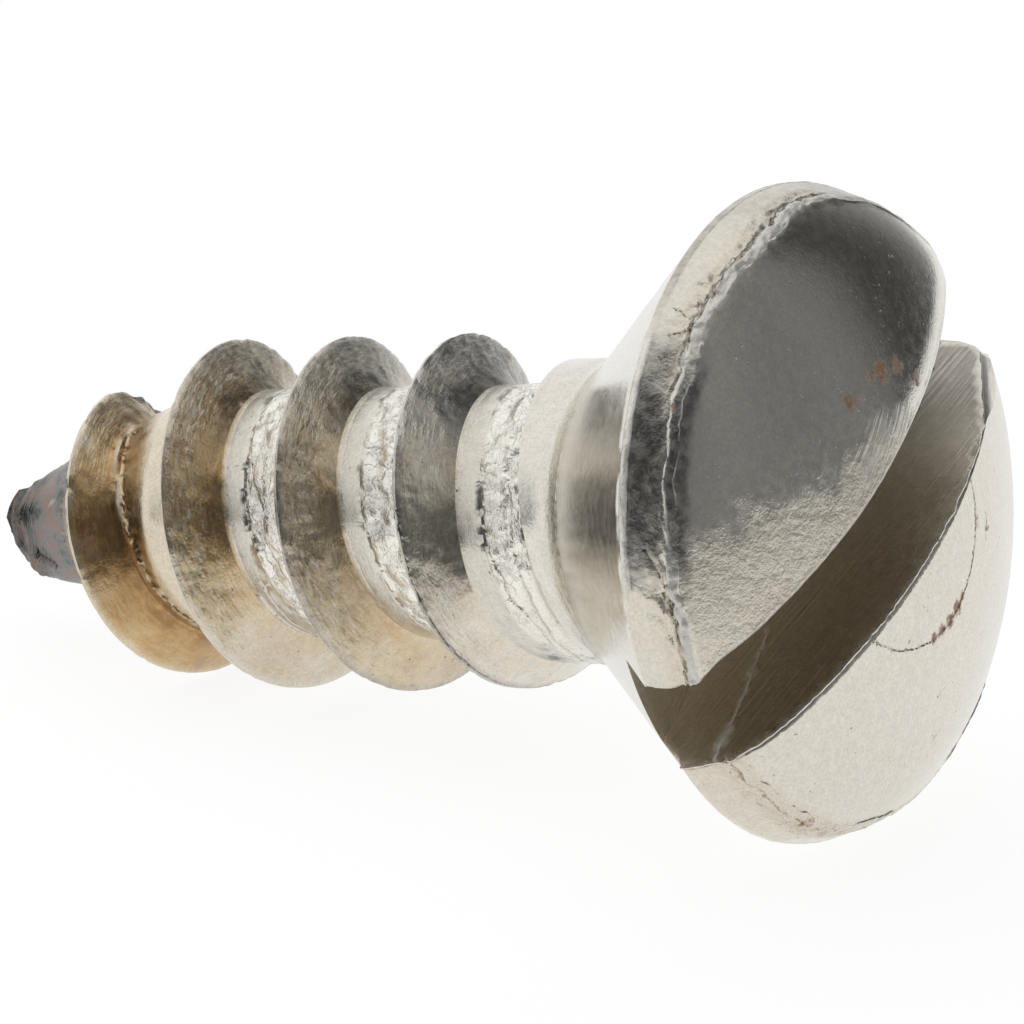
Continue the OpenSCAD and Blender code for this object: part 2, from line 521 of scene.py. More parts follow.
def gridSlot(bm):
    # Walls and floor in small faces
    inside = lambda co: co.z > slotFloor - hair and inWidth(co, hair)
    step = slot["wallStep"]
    for i in range(-math.floor(slot["reach"] / step), math.ceil(slot["reach"] / step)):
        cutAlong(bm, inside, slotAlong * (i + 0.5) * step, slotAlong)
    for i in range(1, math.ceil(slot["depth"] / step)):
        cutAlong(bm, inside, Vector((0, 0, slotFloor + i * step)), Vector((0, 0, 1)))


def lipRows(bm):
    # Rows along both edges of the slot, for its burrs
    dome = lambda co: co.z > head["rimHeight"]
    for wall, way in zip(slotWalls, (-1, 1)):
        for away in slot["lipRows"]:
            cutAlong(bm, dome, slotAcross * (wall + way * away), slotAcross)


# Cracks as width, depth, darkness and path. Places are (angle along the
# helix, lane) on the thread, (angle, radius) on the dome, (angle, angle of
# the round) on the edge round, (along, height) on the far wall of the slot
# and (angle, height) on the point.
# The darkness of a crack is partly its own colour and partly shade painted into it
cracks = {
    "thread": [
        (0.018, 0.045, 0.45, ((84, 0.69), (100, 0.68), (120, 0.7), (139, 0.71), (169, 0.735),
                              (193, 0.79), (205, 0.81))),
        (0.011, 0.012, 0.4, ((455, 0.8), (490, 0.8), (520, 0.81))),
        (0.009, 0.008, 0.28, ((528, 0.75), (555, 0.72), (590, 0.71), (620, 0.73))),
        (0.009, 0.008, 0.32, ((538, 0.672), (560, 0.672), (600, 0.676))),
        (0.008, 0.008, 0.25, ((862, 0.8), (895, 0.79), (925, 0.79))),
        (0.012, 0.012, 0.25, ((1202, 0.8), (1222, 0.8), (1234, 0.81), (1240, 0.84), (1250, 0.83),
                              (1256, 0.88))),
        (0.012, 0.012, 0.28, ((1256, 0.88), (1264, 0.9), (1275, 0.88))),
        # The next two, wide and soft, are shadow painted along the last groove, before the neck
        (0.022, 0.008, 0.14, ((1150, 0.95), (1182, 0.955), (1212, 0.95), (1238, 0.945))),
        (0.022, 0.014, 0.28, ((1238, 0.945), (1262, 0.94), (1280, 0.92), (1292, 0.88))),
        (0.01, 0.014, 0.3, ((1214, 0.362), (1224, 0.37), (1244, 0.362), (1262, 0.368), (1290, 0.36))),
        (0.011, 0.014, 0.45, ((1104, 0.8), (1108, 0.9), (1105, 0.99))),
        (0.01, 0.012, 0.4, ((1112, 0.83), (1115, 0.93), (1113, 0.98))),
        (0.009, 0.016, 0.5, ((740, 0.83), (743, 0.91), (741, 0.98))),
        (0.009, 0.016, 0.4, ((762, 0.84), (765, 0.92), (763, 0.98))),
    ],
    "dome": [
        (0.007, 0.012, 0.6, ((104, 0.87), (90, 0.9), (70, 0.95), (45, 1.0), (25, 1.07), (5, 1.16),
                             (-15, 1.21), (-32, 1.3), (-50, 1.37))),
        (0.006, 0.008, 0.5, ((74, 1.22), (62, 1.26))),
        (0.005, 0.008, 0.5, ((8, 1.74), (2, 1.8))),
        (0.005, 0.008, 0.5, ((7, 2.18), (3, 2.27))),
        (0.006, 0.01, 0.5, ((-34, 2.52), (-38, 2.6))),
    ],
    "edge": [
        (0.007, 0.007, 0.12, ((-143, 83), (-141.5, 72), (-140.5, 62))),
        (0.008, 0.008, 0.14, ((-137, 76), (-138.5, 68), (-139.5, 62))),
        (0.014, 0.01, 0.12, ((-100, 75), (-97, 70), (-93, 64))),
    ],
    "wall": [
        (0.009, -0.008, 0, ((-1.3, 9.68), (-1.6, 9.72), (-2.09, 9.8), (-2.5, 9.84), (-2.98, 9.87))),
    ],
    "point": [
        (0.03, 0.05, 0.9, ((-122, 0.36), (-118, 0.5), (-115, 0.68))),
        (0.035, 0.03, 0.5, ((-75, 0.62), (-70, 0.78), (-62, 0.9))),
        (0.03, 0.03, 0.6, ((-95, 0.3), (-80, 0.36), (-70, 0.5))),
    ],
    "wander": 0.016,
    "step": 0.008,
}

# The cream burr that lies along the first groove, as (angle, lane)
burr = {
    "line": ((75, 0.66), (100, 0.635), (120, 0.65), (130, 0.655), (159, 0.685), (193, 0.7), (206, 0.74)),
    "width": 0.011,
    "height": 0.035,
    "thin": 0.35,
}

relief = {
    "band": 0.036,            # lumps in the rough half of the groove
    "bandRise": 0.04,
    "fold": 0.009,            # thin ridge at the foot of the upper flank
    "foldAt": (0.676, 0.008),
    "flank": 0.0025,
    "gall": 0.02,             # torn streaks on the flanks
    "crest": 0.022,           # chips out of the crest
    "start": 0.014,           # lumps where the thread starts
    "tip": 0.035,
    "rim": 0.006,
    "dome": 0.002,
    "crust": 0.004,
    "worn": 0.03,             # the near lobe is rounded over towards the slot
    "skin": 0.002,
}

# Where things rise, are full, fall and end on the thread: across its lanes,
# along it, and along the groove, which counts from the flank below it
laneSpans = {
    "foot": (0.04, 0),
    "dirt": (0.2, 0.3, 0.4, 0.5),
    "crest": (0.26, 0.31, 0.36, 0.41),
    "flank": (0.35, 0.38, 0.655, 0.675),
    "moreHeat": (0.45, 0.66),
    "lessTorn": (0.48, 0.62),
    "groove": (0.655, 0.675),
    "smooth": (0.67, 0.69, 0.78, 0.81),
    "mauve": (0.68, 0.72, 0.8, 0.84),
    "rough": (0.785, 0.815),
    "cool": (0.8, 0.84),
    "cream": (0.81, 0.85),
    "rise": (0.83, 0.99),
}
turnSpans = {
    "start": (-40, 20, 70, 130),
    "mauve": (30, 60, 215, 330),
    "dirt": (66, 40),
    "cream": (60, 90, 300, 380),
    "burr": (74, 84, 200, 216),
    "burrThin": (128, 140),
    "greyCrest": (700, 800),
    "plain": (1400, 1290),
}
grooveSpans = {
    "torn": (200, 380, 1285, 1400),
    "cool": (215, 380),
    "calm": (1215, 1285),
}

# The same on the head: round it, and by the angle of the edge round
headTurns = {
    "shown": (-194, -186),
    "topGrey": (-160, -172),
    "landGrey": (-135, -150),
    "landBright": (-140, -125),
    "farSeam": (-15, -25),
}
headAngles = {
    "strip": (41, 45, 54, 57),
    "rim": (46, 52),
    "charcoal": (63, 68),
    "charcoalEnd": (88.5, 86),
    "land": (83, 85),
}

# The seam round the head: a torn groove with lumps on both sides
seam = {
    "depth": 0.05,
    "thin": 0.007,
    "thick": 0.02,
    "strip": 0.03,
    "outer": 0.026,
    "pits": 0.0416,
    # Depth of the groove, its painted shade, and brightness of the metal beside it,
    # by the angle round the near lobe
    "groove": ((-193, 0), (-184, 0.6), (-140, 0.8), (-130, 0.2), (-98, 0.25), (-92, 1), (-70, 1)),
    "grooveShade": ((-193, 0), (-184, 0.28), (-140, 0.34), (-130, 0.1), (-98, 0.12), (-92, 0.3), (-70, 0.26)),
    "bright": ((-195, 0), (-182, 0.9), (-138, 0.9), (-128, 0), (-98, 0), (-91, 0.6), (-70, 0.6)),
    "grey": ((-228, 0.55), (-194, 0.5), (-184, 0), (-138, 0), (-127, 1), (-99, 1), (-93, 0)),
}

# Each mark is a kind of place, its two numbers there, a radius and a strength
marks = {
    "rust": [
        ("dome", -171, 1.41, 0.17, 1.0), ("dome", 178, 1.38, 0.12, 0.8), ("dome", -163, 1.44, 0.12, 0.8),
        ("dome", 166, 1.22, 0.11, 0.9), ("dome", -148, 1.47, 0.14, 0.7), ("dome", -153, 1.43, 0.1, 0.6),
        ("edge", -124, 63, 0.07, 0.75), ("dome", 28, 1.06, 0.08, 0.8), ("dome", 20, 1.09, 0.12, 0.9),
        ("dome", 12, 1.12, 0.12, 1.0), ("dome", 4, 1.15, 0.1, 0.9), ("dome", -4, 1.18, 0.09, 0.8),
        ("dome", 70, 0.97, 0.08, 0.6), ("dome", 68, 1.24, 0.09, 0.7), ("edge", -31, 57, 0.13, 0.8),
        ("edge", -26, 57, 0.07, 0.6), ("thread", 190, 0.785, 0.06, 0.7), ("thread", 200, 0.8, 0.06, 0.7),
        ("thread", 519, 0.67, 0.03, 0.6), ("thread", 1286, 0.86, 0.16, 0.3),
    ],
    # Soot, and painted shadow: the three on the thread near 1290 are shadow painted into the last groove,
    # before the neck
    "soot": [
        ("thread", 1290, 0.77, 0.2, 0.7), ("thread", 1278, 0.83, 0.12, 0.5),
        ("thread", 1302, 0.74, 0.12, 0.5), ("wall", 0.69, 10.84, 0.05, 1.0),
        ("thread", 60, 0.34, 0.16, 0.35),
    ],
    # Pale spots: the three wide ones on the flanks, at 455, 103 and 810, are painted highlights; most of the
    # small ones sit on pale lumps and burrs
    "pale": [
        ("thread", 455, 0.44, 0.13, 0.5), ("thread", 103, 0.42, 0.12, 0.4),
        ("thread", 810, 0.42, 0.12, 0.4), ("thread", 438, 0.385, 0.03, 1.0),
        ("thread", 162, 0.722, 0.03, 1.0), ("thread", 174, 0.765, 0.02, 1.0),
        ("thread", 183, 0.772, 0.02, 1.0), ("point", -117, 1.04, 0.03, 0.7),
    ],
    "brushed": [
        ("dome", -171, 0.9, 0.25, 0.7), ("dome", -150, 1.0, 0.3, 1.0), ("dome", -130, 1.0, 0.3, 1.0),
        ("dome", -115, 1.1, 0.3, 0.6),
    ],
    # Lumps that stand out and dents that go in, with their height
    "lump": [
        ("point", -163, 0.1, 0.11, 0.12), ("point", -120, 0.12, 0.1, 0.04), ("point", -85, 0.3, 0.12, 0.03),
        ("point", -140, 0.35, 0.09, -0.04), ("point", -78, 0.62, 0.09, -0.04),
        ("point", -50, 0.45, 0.12, 0.03), ("thread", 20, 0.33, 0.13, 0.07),
        ("thread", 48, 0.33, 0.16, -0.06), ("thread", 70, 0.34, 0.1, 0.01),
        ("thread", 162, 0.722, 0.028, 0.04), ("thread", 174, 0.765, 0.016, 0.025),
        ("thread", 183, 0.772, 0.016, 0.025), ("thread", 451, 0.77, 0.035, -0.03),
        ("thread", 443, 0.79, 0.05, 0.01), ("thread", 438, 0.385, 0.03, 0.025),
    ],
}

# How the flanks and the crest change along the thread, as (angle, amount):
# heat colour, tearing, greying (painted shade near 1242), and pale burrs on the crest
runs = {
    "heat": ((-400, 0.6), (45, 0.55), (100, 0.65), (135, 0.85), (165, 0.98), (200, 0.85), (240, 0.8),
             (330, 0.5), (405, 0.34), (440, 0.52), (470, 0.62), (500, 0.68), (522, 0.55), (545, 0.36),
             (600, 0.34), (680, 0.35), (765, 0.1), (800, 0.28), (850, 0.42), (890, 0.5), (945, 0.42),
             (1020, 0.36), (1080, 0.1), (1125, 0.05), (1215, 0.12), (1305, 0.1), (1400, 0.02)),
    "gall": ((0, 0.3), (60, 0.4), (110, 0.4), (150, 0.12), (330, 0.12), (385, 0.5), (420, 1), (520, 0.9),
             (550, 0.4), (610, 0.2), (720, 0.15), (765, 0.7), (800, 1), (890, 0.8), (930, 0.35),
             (1000, 0.15), (1110, 0.6), (1160, 0.8), (1200, 0.45), (1270, 0.4), (1300, 0)),
    "skin": ((20, 0.1), (60, 0.35), (90, 0), (143, 0), (155, 0.3), (170, 0.25), (195, 0), (385, 0.35),
             (415, 0.7), (445, 0.4), (465, 0), (490, 0), (512, 0.25), (522, 0), (745, 0.4), (775, 0.75),
             (808, 0.45), (825, 0), (862, 0), (874, 0.35), (886, 0.5), (905, 0.2), (925, 0), (1100, 0.45),
             (1135, 0.8), (1168, 0.45), (1185, 0), (1225, 0.1), (1242, 0.3), (1260, 0)),
    "crest": ((0, 0.3), (60, 0.45), (110, 0.2), (330, 0.2), (400, 0.9), (450, 0.9), (500, 0.35),
              (680, 0.25), (760, 0.9), (815, 0.7), (845, 0.15), (1040, 0.1), (1120, 0.9), (1170, 0.6),
              (1200, 0.1), (1300, 0.1)),
}


def alongRun(run, t):
    for (t0, a), (t1, b) in zip(run, run[1:]):
        if t < t1:
            return mix(a, b, ramp(t, t0, t1))
    return run[-1][1]


def threadSpot(t, lane):
    z, r = turnPoint(t, lane)
    return polar(max(r, neckR(z)), thread["startTurn"] + t, z)


def domeSpot(angle, r):
    if r < head["domeRadius"]:
        return polar(r, angle, domeZ(r))
    return polar(r, angle, shoulder(ramp(r, head["lipRadius"], head["domeRadius"]))[1])


def edgeSpot(angle, a):
    r, z = edgeArc(a)
    return polar(r, angle, z)


def wallSpot(along, z):
    return slotAlong * along + slotAcross * slotWalls[0] + Vector((0, 0, z))


def pointSpot(angle, z):
    return tipPlace(z)(angle)


# The place for two numbers, and how far a step of one goes in each
spots = {
    "thread": (threadSpot, 1.3 * math.pi / 180, thread["width"]),
    "dome": (domeSpot, math.pi / 180, 1),
    "edge": (edgeSpot, 2.9 * math.pi / 180, 0.9 * math.pi / 180),
    "wall": (wallSpot, 1, 1),
    "point": (pointSpot, 0.6 * math.pi / 180, 1),
}


def treeOf(places):
    tree = kdtree.KDTree(len(places))
    for i, at in enumerate(places):
        tree.insert(at, i)
    tree.balance()
    return tree


def crackPoints():
    # Every crack as close points on the surface
    points = []
    for kind, (spot, stepU, stepV) in spots.items():
        for *line, path in cracks[kind]:
            for p, q in zip(path, path[1:]):
                length = math.hypot((q[0] - p[0]) * stepU, (q[1] - p[1]) * stepV)
                count = max(1, round(length / cracks["step"]))
                for i in range(count):
                    u, v = mix(p[0], q[0], i / count), mix(p[1], q[1], i / count)
                    at = spot(u, v)
                    calm = 0.3 if kind == "wall" else 1
                    v += calm * cracks["wander"] * (noise.noise(at * 6) + 0.7 * noise.noise(at * 19)) / stepV
                    u += calm * cracks["wander"] * noise.noise(at * 9 + Vector((5, 5, 5))) / stepU
                    points.append((spot(u, v), kind, *line))
    return points


def refine(bm, tree):
    # Smaller faces along the cracks
    for reach, longest in ((0.08, 0.05), (0.045, 0.03), (0.028, 0.017)):
        near = {v for v in bm.verts if tree.find(v.co)[2] < reach}
        edges = [e for e in bm.edges if near.issuperset(e.verts) and e.calc_length() > longest]
        bmesh.ops.subdivide_edges(bm, edges=edges, cuts=1, use_grid_fill=True)


def isThread(co):
    return point["top"] < co.z < neckTop and co.xy.length < thread["majorRadius"] + 0.05


def onSlot(v):
    # On a wall or the floor of the slot, away from its edges
    if v.co.z < slotFloor - touch or not inWidth(v.co, touch):
        return False
    low = v.co.z < slotFloor + touch
    return all(abs(f.normal.dot(slotAcross)) > 0.99 or low and abs(f.normal.z) > 0.99 for f in v.link_faces)


def threadSurface(co, t, lane):
    # Lift of the surface, its stains and its painted light and shade, at a point of the thread
    lower = lane < thread["foot"]
    on = {name: within(lane, *span) for name, span in laneSpans.items()}
    at = {name: within(t, *span) for name, span in turnSpans.items()}
    groove = {name: within(t - 360 if lower else t, *span) for name, span in grooveSpans.items()}
    run = {name: alongRun(line, t) for name, line in runs.items()}
    flank, crest = on["flank"] * at["plain"], on["crest"] * at["plain"]
    band = max(on["rough"], on["foot"]) * groove["torn"] * (1 - 0.6 * groove["calm"])
    wave = fractal(co, 2.5)
    streak = noise.fractal(Vector((co.x * 4, co.y * 4, lane * 20 + t / 40)), 0.8, 2, 3)
    gall = flank * run["gall"] * (1 - 0.75 * on["lessTorn"]) * (0.7 + 0.6 * wave)
    foldAt, foldWidth = relief["foldAt"]
    chips = max(0, noise.fractal(co * 6 + Vector((9, 1, 4)), 0.8, 2, 3) - 0.15)
    ridge = bell((lane - alongRun(burr["line"], t)) / burr["width"]) * at["burr"]
    ridge *= mix(1, burr["thin"], at["burrThin"])

    lift = relief["skin"] * fractal(co, 9, 2) + relief["flank"] * flank * streak
    lift += relief["gall"] * gall * (streak + 0.5 * fractal(co, 9, 2, 0.8))
    lift += relief["band"] * band * fractal(co, 6, gap=2.2)
    lift += relief["bandRise"] * band * on["foot" if lower else "rise"]
    lift += relief["fold"] * groove["torn"] * bell((lane - foldAt) / foldWidth)
    lift += relief["start"] * at["start"] * fractal(co, 3.5, 2, 0.8)
    lift += burr["height"] * ridge * (1 + 0.5 * noise.noise(co * 16))
    lift -= relief["crest"] * crest * chips

    flankHeat = alongRun(runs["heat"], t if lane > 0.02 else t - 360) * mix(0.85, 1.15, on["moreHeat"])
    grooveHeat = mix(mix(0.55, 0.28, on["cool"]), 0.06, groove["cool"])
    tint = mix(flankHeat, grooveHeat, max(on["groove"], on["foot"])) * (1 - 0.5 * crest)
    inNeck = soft(co.z, *neck["worn"])
    mauve, smooth = on["mauve"] * at["mauve"], on["smooth"] * groove["torn"]
    skin = max(flank * run["skin"], 0.4 * mauve, 0.15 * smooth, 0.12 * inNeck)
    burred = crest * run["crest"] * (0.6 + 0.8 * fractal(co, 7, 2))
    return lift, {
        "tint": tint + 0.12 * wave * flank + 0.1 * inNeck,
        "band": band,
        "gall": gall,
        "skin": max(skin, 0.6 * crest * (1 - run["crest"]) * at["greyCrest"]),
        "blue": max(1 - soft(co.z, *point["burnt"]), 0.8 * at["dirt"] * on["dirt"]),
        "crust": 0.6 * inNeck,
        "pale": max(0.8 * ridge, 0.7 * burred, 0.08 * on["cream"] * at["cream"]),
    }


def pointSurface(co):
    end = 1 - soft(co.z, *point["broken"])
    lift = relief["tip"] * end * fractal(co, 4) + relief["skin"] * fractal(co, 7)
    return lift, {"blue": 1, "crust": 0.5 * end, "soot": 0.35 * end}


def seamSurface(co, depth, grey, shown):
    # Lift at the seam round the head, and how much of a point is in its
    # groove, in the torn strip inside it and in the lumps outside it
    if co.xy.length <= 2.5 or roundAngle(co) >= 86:
        return 0, 0, 0, 0
    away = math.radians(roundAngle(co) - seamWave(around(co)) - head["seamAt"]) * head["edgeRadius"]
    torn = away + 0.035 * noise.noise(co * 7) + 0.028 * noise.noise(co * 17)
    groove = bell(torn / mix(seam["thin"], seam["thick"], soft(noise.noise(co * 4.5), -0.2, 0.6)))
    lumpy = fractal(co, 11, 3, 0.8)
    strip = shown * soft(torn, -0.005, -0.03) * soft(away, -0.14, -0.105)
    outer = shown * soft(torn, 0.01, 0.03) * soft(torn, 0.28, 0.08)
    lift = seam["strip"] * strip * (0.6 + lumpy) * mix(0.3, 1, depth) * (1 - 0.8 * grey)
    lift += seam["outer"] * outer * lumpy * mix(0.6, 1, depth) * (1 - 0.8 * grey)
    lift -= seam["depth"] * depth * groove * (0.7 + 0.5 * noise.noise(co * 8))
    lift -= seam["pits"] * depth * outer * max(0, noise.noise(co * 13) - 0.1)
    return lift, groove, strip, outer


def headSurface(co):
    # Lift of the surface, its stains and its painted light and shade, on the dome and the edge round
    angle, a = around(co), roundAngle(co)
    along, across = co.dot(slotAlong), side(co)
    near = across > 0
    turn = angle - 360 if angle > 0 else angle
    at = {name: soft(turn, *span) for name, span in headTurns.items()}
    ragged = 5 * noise.noise(co * 3) + 3 * noise.noise(co * 9)
    # The seam's groove is darkened with painted shade
    if near:
        depth, grooveShade, bright, grey = (alongRun(seam[name], turn + ragged)
                                      for name in ("groove", "grooveShade", "bright", "grey"))
    else:
        torn = soft(angle, *headTurns["farSeam"])
        depth, grooveShade, bright, grey = 0.5 * torn, 0.3 * torn, 0, 0
    seamLift, groove, strip, outer = seamSurface(co, depth, grey, at["shown"] if near else 1)
    inner = a + 0.3 * ragged - seamDrop(angle)
    rim = soft(inner, *headAngles["rim"])
    lift = mix(relief["dome"] * noise.noise(co * 1.5), relief["rim"] * fractal(co, 5), rim) + seamLift
    if near:
        # The slot's side of the dome is crusted, and worn over at its edge
        limit = mix(2.2, 0.95, ramp(along, -2.4, 0.3))
        limit += 0.3 * noise.noise(co * 3) + 0.15 * noise.noise(co * 8)
        crust = soft(across, limit, limit - 0.7) * (1 - soft(along, 0.2, 0.8)) * (1 - rim)
        lift += relief["crust"] * crust * fractal(co, 9)
        lift -= relief["worn"] * ramp(across - slotWalls[1], 0.32, 0) ** 2 * soft(along, -1, 0.6)
        # Painted light on the near lobe's rim: part of the rim land is lightened with a painted highlight and
        # part greyed with painted shade, and the grey top and grey rim further round, and the dark strip
        # along the lip, are painted shade
        land = soft(a, *headAngles["land"])
        if turn > -150:
            charcoal = soft(a + ragged, *headAngles["charcoal"])
            charcoal *= soft(a + 0.4 * ragged, *headAngles["charcoalEnd"])
            greyedAndShaded = max(charcoal, within(inner, *headAngles["strip"]))
        else:
            greyedAndShaded = soft(a, *headAngles["rim"])
        bright = max(bright * (1 - 0.7 * land * at["landGrey"]), 0.6 * land * at["landBright"])
        skin = max(grey * greyedAndShaded, 0.6 * land * at["landGrey"], 0.3 * rim * at["topGrey"])
        tint = 0.12 * crust + 0.12 * rim * (1 - grey)
        pale = 0.35 * bright * rim + 0.8 * strip * soft(depth, 0.2, 0.5)
    else:
        crust, skin = 0, 0
        # The far lobe is lightened all over, with painted light
        tint = 0.08 + 0.12 * rim
        pale = 0.15 + 0.15 * rim
    return lift, {
        "tint": tint + 0.08 * outer,
        "crust": max(crust, 0.7 * outer * rim, 0.5 * strip, 0.5 * grey * rim),
        "skin": skin,
        "pale": pale,
        "crack": grooveShade * groove,
    }


def slotEdge(co):
    # Lift along the edges of the slot, with the painted highlight along both edges and the painted shade in
    # the hollow behind the far burr
    far, near = slotWalls[0] - side(co), side(co) - slotWalls[1]
    if co.z < head["rimHeight"] or min(abs(far), abs(near)) > slot["edgeWidth"]:
        return 0, 0, 0
    wave = 1 + 0.4 * noise.noise(co * 6) + 0.4 * noise.noise(co * 17)
    if abs(far) < slot["edgeWidth"]:
        hollow = ramp(far, 0.02, 0.05) * ramp(far, 0.1, 0.06)
        lift = slot["burr"] * wave * (1.1 * ramp(far, 0.045, 0.016) - 0.6 * hollow)
        # Painted shade in the hollow behind the far burr, and a painted highlight on the burr itself
        dark = 0.6 * wave * ramp(far, 0.03, 0.05) * ramp(far, 0.085, 0.055)
        return lift, 0.5 * ramp(far, 0.05, 0.032), dark
    # The near edge is rounded off, with a painted highlight along it
    lift = 0.003 * wave * ramp(near, 0.014, 0.03) * ramp(near, 0.08, 0.04) - 0.02 * ramp(near, 0.028, 0)
    return lift, 0.6 * ramp(near, 0.045, 0.03), 0


def slotStains(co):
    along = co.dot(slotAlong)
    brushed = mix(0.6, 1, soft(along, 0.3, 1.3))
    if abs(co.z - slotFloor) < touch:
        return {"brushed": brushed, "tint": 0.1}
    tint = mix(0.18, 0.08, ramp(along, -1, 2))
    return {"brushed": brushed, "tint": tint, "skin": 0.7 * soft(along, 0.9, 2)}


def surfaceAt(v, inSlot, turnOf, laneOf):
    # The way in which the surface lifts, how far, and its stains and painted light and shade
    co, out = v.co, v.normal.copy()
    if isThread(co):
        return out, *threadSurface(co, v[turnOf], v[laneOf])
    if co.z <= point["top"]:
        return out, *pointSurface(co)
    if inSlot:
        return out, 0, slotStains(co)
    if co.z <= head["rimHeight"]:
        return out, relief["skin"] * fractal(co, 4, 3, 0.8), {}
    lift, stainsAndPaintedLight = headSurface(co)
    edge, bright, dark = slotEdge(co)
    if edge or bright:
        out = (out - slotAcross * out.dot(slotAcross)).normalized()
    # The edges' painted highlight goes into pale, and the painted shade behind the far burr into the crack
    # mask
    stainsAndPaintedLight["pale"] = max(stainsAndPaintedLight["pale"], bright)
    stainsAndPaintedLight["crack"] = max(stainsAndPaintedLight["crack"], dark)
    return out, lift + edge, stainsAndPaintedLight


def raggedAt(co):
    # A little beside the point, for ragged edges
    aside = (Vector((0, 0, 0)), Vector((5, 9, 2)), Vector((8, 3, 7)))
    return co + 0.05 * Vector([noise.noise(co * 9 + shift) for shift in aside])


def addMarks(co, placed, tree, stainsAndPaintedLight):
    # Adds the stains and painted light and shade of the marks near a point, and gives the lift of the lumps
    ragged = raggedAt(co)
    lift = 0
    for _, i, away in tree.find_range(co, 0.5):
        at, kind, radius, amount = placed[i]
        if kind == "lump":
            lift += amount * soft(away, radius * 1.2, 0)
        else:
            here = amount * soft((ragged - at).length, radius * 1.15, radius * 0.3)
            stainsAndPaintedLight[kind] = max(stainsAndPaintedLight.get(kind, 0), here)
    return lift


def addCrack(away, width, depth, dark, stainsAndPaintedLight):
    # Adds the darkness of the nearest crack, partly its own colour and partly painted
    # shade in it, and gives the lift of its groove and lips
    stainsAndPaintedLight["crack"] = max(stainsAndPaintedLight.get("crack", 0), dark * max(0, 1 - away / (width * 2)))
    if depth < 0:
        stainsAndPaintedLight["pale"] = max(stainsAndPaintedLight.get("pale", 0), ramp(away, width * 1.6, width))
    return depth * (0.25 * bell((away - width * 1.6) / width) - bell(away / width * 1.2))


def keepSlot(co, move, inSlot):
    # What is on the slot's edges moves along its walls and floor
    if not inSlot and co.z > slotFloor - touch and any(abs(side(co) - w) < touch for w in slotWalls):
        move -= slotAcross * move.dot(slotAcross)
    if not inSlot and abs(co.z - slotFloor) < touch and inWidth(co, touch):
        move.z = 0
    if inSlot and abs(side(co) - slotWalls[1]) < touch:
        # The wall stays inside the worn edge
        move += (wallHeart - co) * slot["wallIn"]
    if co.z > slotFloor and side(co) > slotWalls[1] - touch:
        # The lower corner of the near lobe is smeared into the slot
        move -= slotAcross * slot["smear"] * soft((co - smearAt).length, slot["smearReach"], 0)
    return move


stainAndPaintedLightNames = ("tint", "blue", "pale", "band", "gall", "skin", "crust", "brushed", "rust", "soot", "crack")


def roughen(bm, crackTree, points):
    # Cracks, burrs, lumps and chips are lifted out of the surface, and what
    # is stained or painted with light and shade is marked on it
    turnOf, laneOf = bm.verts.layers.float["turn"], bm.verts.layers.float["lane"]
    layers = {name: bm.verts.layers.float.new(name) for name in stainAndPaintedLightNames}
    placed = [(spots[place][0](u, v), kind, radius, amount) for kind, group in marks.items()
              for place, u, v, radius, amount in group]
    markTree = treeOf([p[0] for p in placed])
    bm.normal_update()
    moves = []
    for v in bm.verts:
        co, inSlot = v.co, onSlot(v)
        out, lift, stainsAndPaintedLight = surfaceAt(v, inSlot, turnOf, laneOf)
        lift += addMarks(co, placed, markTree, stainsAndPaintedLight)
        _, index, away = crackTree.find(co)
        _, kind, width, depth, dark = points[index]
        if inSlot == (kind == "wall"):
            lift += addCrack(away, width, depth, dark, stainsAndPaintedLight)
        moves.append(keepSlot(co, out * lift, inSlot))
        for name in stainAndPaintedLightNames:
            v[layers[name]] = min(1, max(0, stainsAndPaintedLight.get(name, 0)))
    for v, move in zip(bm.verts, moves):
        v.co += move


# The screw is built, and laid down


def layDown():
    turn = Matrix.Rotation(math.radians(90 - rest["tilt"]), 4, "Y")
    place = Matrix.Translation(Vector((-rest["shift"], 0, rest["drop"])) * mm)
    return place @ turn @ Matrix.Scale(mm, 4)


def makeScrew():
    bm = bmesh.new()
    wrapThread(bm)
    print("thread wrapped", len(bm.faces))
    growPoint(bm)
    growHead(bm)
    print("point and head grown", len(bm.faces))
    bmesh.ops.recalc_face_normals(bm, faces=bm.faces)
    cutSlot(bm)
    cutNick(bm)
    gridSlot(bm)
    lipRows(bm)
    print("slot cut", len(bm.faces))
    bmesh.ops.recalc_face_normals(bm, faces=bm.faces)
    points = crackPoints()
    tree = treeOf([p[0] for p in points])
    refine(bm, tree)
    print("cracks refined", len(bm.faces))
    roughen(bm, tree, points)
    print("surface roughened")
    return bm


def asObject(bm, name):
    mesh = bpy.data.meshes.new(name)
    bm.to_mesh(mesh)
    bm.free()
    obj = bpy.data.objects.new(name, mesh)
    bpy.context.scene.collection.objects.link(obj)
    return obj


bm = makeScrew()
bm.transform(layDown())
print("open edges", len([e for e in bm.edges if not e.is_manifold]))
print("tris", sum(len(f.verts) - 2 for f in bm.faces))
body = asObject(bm, "screwBody")
for p in body.data.polygons:
    p.use_smooth = True
body.data.set_sharp_from_angle(angle=math.radians(rest["sharp"]))
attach(body, "root")
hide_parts("screw")


# Metal

